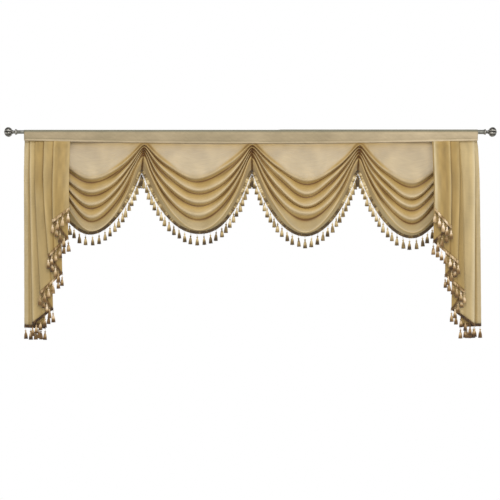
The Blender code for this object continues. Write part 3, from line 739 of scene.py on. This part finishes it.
crestWavers = {n: [waver(n * 10 + k, (2.2, 4.1, 7.3)) for k in range(6)] for n in swagFolds}
swagVoile = voileMaterial("sheerPolyesterVoile", {
    "roughness": 0.5, "flatMm": (610, 700), "sheer": 0.68, "dense": 0.985, "uneven": 0.14, "slubbed": 0.6,
    "patches": (0.016, 0.02), "greyer": "9e8e69",
    "colours": [(0.0, "c8b48c"), (0.2, "b8a27a"), (0.48, "ad9055"), (1.0, "603c04")]})
swagPieces = {}
for number in swagFolds:
    rows = swag["rowsPanel"] + 5 * swag["rowsFold"]
    swagPieces[number] = addSheet(
        f"swagCloth{number}", swag["columns"], rows,
        lambda across, down, n=number: swagPoint(n, swagS(across), swagRow(1 - down) if down > 0 else 6.0),
        swag["cloth"] * mm)
    finish(swagPieces[number], swagVoile, "voile", f"swag_{number}")
print("swags ready")


# Side tails

tail = {
    "backTop": -6.2, "forward": [(12, 40, 40), (16, 60, 150)], "topGap": 1.8, "hemGap": 8.5,
    "openDrop": 310, "headerLap": 1.2, "bulge": 1.4, "frontBulge": 5.0, "freed": (60, 260), "cloth": 0.5,
    "legSteps": 30, "turnSteps": 8, "rows": 64, "rowPower": 1.4,
    "sideHem": 22, "hemEdge": (-3, 4), "hemTone": 0.2, "hemLine": (0.35, 0, 3.5), "hemPucker": 1.6,
    "puckerBelow": (60, 80), "outerLayer": 0.8,
}
# each layer's tone, from 0 for the palest to 1, set layer by layer as painted light and shade, how
# much paler its folded edge is as a painted highlight, the painted shadow of the layer in front,
# where light reaches in, and the front layer's painted highlight and shade streaks
tailTone = {
    "faces": {"left": (0.57, 0.62, 0.48, 0.62, 0.58, 0.62, 0.36, 0.62, 0.28),
              "right": (0.54, 0.62, 0.62, 0.62, 0.58, 0.62, 0.26, 0.62, 0.3)},
    "edges": {1: 0.2, 3: 0.16, 5: 0.04, 7: 0.16}, "edgeFade": 7,
    "shadows": {"left": {2: 0.34, 4: 0.32, 6: 0.14, 8: 0.24},
                "right": {2: 0.22, 4: 0.12, 6: 0.08, 8: 0.26}},
    "shadow": [(1, 1, 3.2), (0.2, 0, 16)], "lit": {("left", 4): (-0.22, 200, 120)},
    "front": {"left": [(-0.2, 0, 13)], "right": [(0.12, 42, 20), (-0.42, 0, 13)]},
}
# each row is a fold line from the inner to the outer edge: its place across the header and
# across the hem, the hem's drop, in mm, and its bend, which is 1 for a straight line
tailFolds = {
    "left": [(-797, -790, 336, 1), (-869, -862, 386, 1), (-800, -796, 462, 1), (-911, -884, 537, 1.8),
             (-838, -824, 614, 1), (-950, -921, 697, 1.4), (-879, -867, 770, 1), (-974, -957, 832, 1),
             (-917, -903, 850, 1), (-999, -995, 846, 0.45)],
    "right": [(795, 788, 336, 1), (867, 860, 412, 1), (790, 785, 476, 1), (907, 893, 563, 1),
              (845, 838, 624, 1), (909, 924, 692, 0.8), (880, 868, 770, 1), (975, 970, 838, 1),
              (930, 910, 843, 1), (987.5, 1001.5, 840, 0.45)],
}
tailLayers = 9


def tailLine(side, k, drop):
    top, hem, hemDrop, bend = tailFolds[side][k]
    share = max(0, (drop - header["endDrop"]) / (hemDrop - header["endDrop"]))
    return mix(top, hem, share ** bend)


def tailDepth(layer, drop):
    depth = tail["backTop"] + ramps(drop, *tail["forward"])
    opened = rise(drop, header["endDrop"], tail["openDrop"] - header["endDrop"])
    return depth + (tailLayers - 1 - layer) * mix(tail["topGap"], tail["hemGap"], opened)


tailColumns = []
for layer in range(tailLayers):
    tailColumns += [("leg", layer, i / tail["legSteps"]) for i in range(tail["legSteps"] + 1)]
    if layer < tailLayers - 1:
        tailColumns += [("turn", layer, i / tail["turnSteps"]) for i in range(1, tail["turnSteps"])]


def tailHem(side, column):
    kind, k, share = column
    folds = tailFolds[side]
    return folds[k + 1][2] if kind == "turn" else mix(folds[k][2], folds[k + 1][2], share)


def tailPoint(side, column, drop):
    kind, k, share = column
    outward = -1 if side == "left" else 1
    heading = outward if k % 2 == 0 else -outward
    depth = tailDepth(k, drop)
    turnBefore = (tailDepth(k - 1, drop) - depth) / 2 if k > 0 else 0
    turnAfter = (depth - tailDepth(k + 1, drop)) / 2 if k < tailLayers - 1 else 0
    if kind == "leg":
        start = tailLine(side, k, drop) + heading * turnBefore
        end = tailLine(side, k + 1, drop) - heading * turnAfter
        swell = tail["frontBulge"] if k == 0 else tail["bulge"]
        swell *= rise(drop, *tail["freed"]) * (0.7 + 0.3 * tailWavers[side](k + drop / 160))
        depth += swell * math.sin(math.pi * share)
        return Vector((mix(start, end, share), -depth, -drop)) * mm
    angle = share * math.pi
    x = tailLine(side, k + 1, drop) - heading * turnAfter * (1 - math.sin(angle))
    return Vector((x, -(depth - turnAfter * (1 - math.cos(angle))), -drop)) * mm


def tailPlace(side, across, down):
    column = tailColumns[round(across * (len(tailColumns) - 1))]
    kind, k, part = column
    top = headerDrop(tailPoint(side, column, header["endDrop"]).x) / mm - tail["headerLap"]
    drop = mix(top, tailHem(side, column), (1 - down) ** tail["rowPower"])
    point = tailPoint(side, column, drop)
    # painted highlights make the cloth paler along its folded edges, more along some than others
    glint = tailTone["edges"].get(k + 1, 0)
    if kind == "leg":
        glint *= max(0, 1 - tailTone["edgeFade"] * (1 - part))
    # each layer's face tone paints how much light reaches that layer
    fold = tailTone["faces"][side][k] - glint
    shadow = tailTone["shadows"][side].get(k, 0)
    if shadow:
        # each layer is darkest where it comes out from under the one in front
        past = abs(point.x) / mm - abs(tailLine(side, k - 1, drop))
        fold += shadow * streaks(past, *tailTone["shadow"])
        # and the light reaches more of the left tail further down
        if (side, k) in tailTone["lit"]:
            fold += ramps(drop, tailTone["lit"][side, k])
    elif k == 0:
        # the front layer gets a painted highlight along its inner edge, on the right with a painted shade
        # streak beside it
        fromEdge = abs(abs(point.x) / mm - abs(tailFolds[side][0][0]))
        fold += streaks(fromEdge, *tailTone["front"][side])
    if k == tailLayers - 1 and kind == "leg":
        # the outer edge is turned in and stitched, and puckers there
        fromEdge = (1 - part) * abs(tailLine(side, k + 1, drop) - tailLine(side, k, drop))
        fromHem = fromEdge - tail["sideHem"]
        inHem = rise(-fromHem, *tail["hemEdge"])
        fold = mix(fold, tail["hemTone"], inHem) + streaks(fromHem, tail["hemLine"])
        pucker = tail["hemPucker"] * tailWavers[side](drop / 11) * rise(drop, *tail["puckerBelow"])
        point.y -= pucker * inHem * mm
    return point, min(fold, 1), tail["outerLayer"] if k == tailLayers - 1 else 1.0, 0.0


tailWavers = {"left": waver(71, (1.3, 2.9)), "right": waver(72, (1.3, 2.9))}
# the tails' long patches paint soft light and shade streaks down the hang
tailVoile = voileMaterial("foldedPolyesterVoile", {
    "roughness": 0.52, "flatMm": (663, 560), "sheer": 0.6, "dense": 0.97, "uneven": 0.2, "slubbed": 0.25,
    "patches": (0.06, 0.008), "greyer": "a5946e",
    "colours": [(0.0, "ccbd99"), (0.3, "b49c6a"), (0.6, "a2864d"), (1.0, "64450c")]})
tailPieces = {}
for side in tailFolds:
    tailPieces[side] = addSheet(
        f"tailCloth{side.capitalize()}", len(tailColumns) - 1, tail["rows"],
        lambda across, down, which=side: tailPlace(which, across, down), tail["cloth"] * mm)
    finish(tailPieces[side], tailVoile, "voile", f"tail_{side}")
print("tails ready")


# Tassel fringe

fringe = {
    "lap": 2.0, "lapDepth": 1.3, "braidHeight": 9.5, "braidThick": 1.6, "point": 1.4, "pointPitch": 6.4,
    "pointFrom": (0.6, 0.4), "twist": 0.5, "plyPitch": 3.2, "step": 1.6, "rows": 8,
    "tone": 0.12, "mottle": 0.14, "tasselShade": 0.4,
    "swagPitch": 27, "tailPitch": 25.5, "root": 5, "jointClearance": 9.5, "seamClearance": 1.0,
    "hemSteps": 160,
    "sizes": (0.94, 1.05), "tilt": 3.0, "flat": 0.45, "thin": 0.9, "threadDrop": 1.2,
    "crowd": (0.3, 0.68), "crowdDepth": 2.5, "crowdShade": 0.7,
    "swagShade": 0.1, "footShade": 0.42, "jointShade": (0.5, 0, 16),
    "layerShades": (0, 0.28, 0.1, 0.28, 0.1, 0.28, 0.42, 0.42, 0.42),
}
# depth and radius in mm of a bead with its bound neck and cut skirt, and of a loop it hangs by
tasselProfile = [
    (10.8, 0.5), (11.2, 2.2), (12.4, 3.5), (14.0, 4.1), (15.8, 3.7), (17.2, 2.6), (18.0, 2.3), (19.0, 2.9),
    (20.2, 2.7), (22, 3.9), (25, 5.2), (31, 6.7), (39, 7.9), (49.2, 8.8), (49.7, 8.0), (46.0, 2.5)]
loopProfile = [(-3, 0.42), (5, 0.5), (11.6, 0.42)]
skirt = {"strands": 26, "cut": 0.9, "cutBelow": 48, "swell": 0.09, "from": (20, 8), "brownAndShade": 0.34,
         "skirtShadeFrom": (26, 22), "loopApart": 2.6, "loopLean": 0.2}


def makeTassel():
    body = drawOut("tassel", skirt["strands"], tasselProfile)
    rng = random.Random(3)
    cuts = [rng.uniform(-skirt["cut"], skirt["cut"]) for _ in range(skirt["strands"])]
    skirtShades = []
    for vert in body.data.vertices:
        along = -vert.co.z / mm
        turn = math.atan2(vert.co.y, vert.co.x) / (2 * math.pi) * skirt["strands"]
        grow = 1 + skirt["swell"] * rise(along, *skirt["from"]) * math.cos(turn * math.pi)
        vert.co.x *= grow
        vert.co.y *= grow
        if along > skirt["cutBelow"]:
            vert.co.z += cuts[round(turn) % skirt["strands"]] * mm
        # the skirt darkens towards its cut ends as painted shade
        skirtShades.append(skirt["brownAndShade"] * rise(-vert.co.z / mm, *skirt["skirtShadeFrom"]))
    body.data.attributes.new("fold", "FLOAT", "POINT").data.foreach_set("value", skirtShades)
    parts = [body]
    for side in (-1, 1):
        thread = drawOut("loop", 6, loopProfile)
        lean = Matrix.Rotation(side * skirt["loopLean"], 4, "Y")
        thread.data.transform(Matrix.Translation((side * skirt["loopApart"] * mm, 0, 0)) @ lean)
        parts.append(thread)
    return joinPieces(parts, "tassel")


def walkAlong(points):
    marks = [0.0]
    for a, b in zip(points, points[1:]):
        marks.append(marks[-1] + (b - a).length)

    def at(distance):
        distance = min(max(distance, 0.0), marks[-1])
        low = min(bisect_right(marks, distance) - 1, len(marks) - 2)
        share = (distance - marks[low]) / (marks[low + 1] - marks[low])
        return points[low].lerp(points[low + 1], share)

    def heading(distance):
        return (at(distance + mm) - at(distance - mm)).normalized()

    return at, heading, marks


def makeFringe(name, length, heading, edges, tassels, crowd, flat, shade, seed):
    # the braid: two plied cords side by side with small points along its foot, unevenly dyed, and
    # darkened where shade(distance) paints shade
    mottle = waver(seed + 40, (2.1, 5.3, 7.7))

    def braidPlace(across, down):
        distance = across * length
        upper, lower = edges(distance)
        ahead = heading(distance)
        side = Vector((ahead.y, -ahead.x, 0)).normalized()
        if side.y > 0:
            side = -side
        foot = (lower - upper).normalized()
        reach = 1 - down
        scallop = abs(math.cos(math.pi * distance / (fringe["pointPitch"] * mm))) * fringe["point"] * mm
        point = upper.lerp(lower, reach) + foot * scallop * rise(reach, *fringe["pointFrom"])
        ply = math.sin(2 * math.pi * (distance / mm / fringe["plyPitch"] + reach * 2))
        cord = abs(math.sin(2 * math.pi * reach))
        relief = fringe["twist"] * (ply + 1) * cord + fringe["lapDepth"]
        tone = fringe["tone"] + shade(distance) + fringe["mottle"] * mottle(distance * 90)
        return point + side * relief * mm, tone, 1.0, 0.0

    columns = max(int(length / mm / fringe["step"]), 8)
    braid = addSheet(name, columns, fringe["rows"], braidPlace, fringe["braidThick"] * mm)
    rng = random.Random(seed)
    parts = [braid]
    for distance in [*tassels, *crowd]:
        upper, lower = edges(distance)
        lower.y += crowd.get(distance, 0.0)
        ahead = heading(distance)
        along = Vector((1, 0, 0)) if flat else Vector((ahead.x, ahead.y, 0)).normalized()
        across = Vector((-along.y, along.x, 0))
        size = rng.uniform(*fringe["sizes"])
        thin = fringe["flat" if flat else "thin"]
        turn = Matrix((
            (along.x * size, across.x * size * thin, 0, lower.x),
            (along.y * size, across.y * size * thin, 0, lower.y),
            (0, 0, size, lower.z - fringe["threadDrop"] * mm),
            (0, 0, 0, 1)))
        lean = math.radians(rng.uniform(-fringe["tilt"], fringe["tilt"]))
        twin = copyOf(tassel, turn @ Matrix.Rotation(lean, 4, "Y"))
        # each tassel takes the painted shade of its place, and the crowded ones at a joint more
        shadeAndBrown = shade(distance) + (fringe["crowdShade"] if distance in crowd else 0.0)
        for value in twin.data.attributes["fold"].data:
            value.value += shadeAndBrown * fringe["tasselShade"]
        parts.append(twin)
    return joinPieces(parts, name)


def swagFringe(number):
    steps = fringe["hemSteps"]
    hem = [swagPoint(number, swagS(i / steps), 6.0)[0] for i in range(steps + 1)]
    at, heading, marks = walkAlong(hem)
    length = marks[-1]

    def edges(distance):
        ahead = heading(distance)
        outward = Vector((ahead.z, 0, -ahead.x)).normalized()
        pair = []
        for reach in (-fringe["lap"], fringe["braidHeight"]):
            point = at(distance) + outward * reach * mm
            left = jointX(number - 1, -point.z) + fringe["seamClearance"] * mm
            right = jointX(number, -point.z) - fringe["seamClearance"] * mm
            point.x = min(max(point.x, left), right)
            if min(distance, length - distance) < fringe["braidHeight"] * mm:
                # by a joint the braid hangs straight down
                point.z = min(point.z, at(distance).z - reach * mm)
            pair.append(point)
        return pair

    def clears(distance):
        point = edges(distance)[1]
        toLeft = point.x - jointX(number - 1, -point.z)
        toRight = jointX(number, -point.z) - point.x
        return min(toLeft, toRight) > fringe["jointClearance"] * mm

    first = fringe["root"] * mm
    last = length - first
    while not clears(first):
        first += mm
    while not clears(last):
        last -= mm
    count = round((last - first) / mm / fringe["swagPitch"])
    tassels = [mix(first, last, i / count) for i in range(count + 1)]
    # two more crowd into the split at each joint, those of one swag before those of the next
    crowd = {}
    for share in fringe["crowd"]:
        if number > 1:
            crowd[first * share] = fringe["crowdDepth"] * mm
        if number < 4:
            crowd[length - (length - last) * share] = -fringe["crowdDepth"] * mm

    # painted shade darkens the yarn at the foot of the swag, where the braid turns under, and at the joints
    def shade(distance):
        fromJoint = min(distance, length - distance)
        atFoot = fringe["footShade"] * math.sin(math.pi * distance / length) ** 4
        return fringe["swagShade"] + atFoot + streaks(fromJoint / mm, fringe["jointShade"])

    return makeFringe(f"swagFringe{number}", length, heading, edges, tassels, crowd, False, shade, number)


def tailFringe(side):
    hem = [tailPoint(side, column, tailHem(side, column)) for column in tailColumns]
    at, heading, marks = walkAlong(hem)
    length = marks[-1]
    turns = []
    perLayer = tail["legSteps"] + tail["turnSteps"]
    for layer in range(tailLayers - 1):
        legEnd = layer * perLayer + tail["legSteps"]
        turns.append((marks[legEnd] + marks[legEnd + tail["turnSteps"]]) / 2)
    root = fringe["root"] * mm
    stops = [root, *turns, length - root]
    tassels = [stops[0]]
    for start, end in zip(stops, stops[1:]):
        count = max(round((end - start) / mm / fringe["tailPitch"]), 1)
        tassels += [mix(start, end, i / count) for i in range(1, count + 1)]

    def edges(distance):
        point = at(distance)
        return [point - Vector((0, 0, reach * mm)) for reach in (-fringe["lap"], fringe["braidHeight"])]

    # every other layer shows the braid's brown wrong side, also in painted shade, and the lowest
    # layers are darker with painted shade
    def shade(distance):
        return fringe["layerShades"][sum(distance > turn for turn in turns)]

    name = f"tailFringe{side.capitalize()}"
    return makeFringe(name, length, heading, edges, tassels, {}, True, shade, 20 + len(side))


tassel = makeTassel()
# one rayon yarn in two copies: the swags' is a darker, more olive painted shade copy, as their braid hangs
# under the turned hem, and the tails' a paler, pinker lit copy
yarnInShade = yarnMaterial("rayonYarnInShade", {
    "roughness": 0.6, "varied": 0.7,
    "colours": [(0.16, "e6d5b0"), (0.34, "bea673"), (0.56, "7e673c"), (0.8, "443214")]})
yarnInLight = yarnMaterial("rayonYarnInLight", {
    "roughness": 0.6, "varied": 0.55,
    "colours": [(0.16, "f0dbc0"), (0.34, "c2a578"), (0.54, "78582c"), (0.8, "382206")]})
for number in swagFolds:
    piece = swagFringe(number)
    finish(piece, yarnInShade, "swag_fringe_yarn", f"swag_fringe_{number}")
for side in tailFolds:
    piece = tailFringe(side)
    finish(piece, yarnInLight, "tail_fringe_yarn", f"tail_fringe_{side}")
bpy.data.objects.remove(tassel)
print("fringes ready")


for number in swagFolds:
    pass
for side in tailFolds:
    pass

print("valance done")
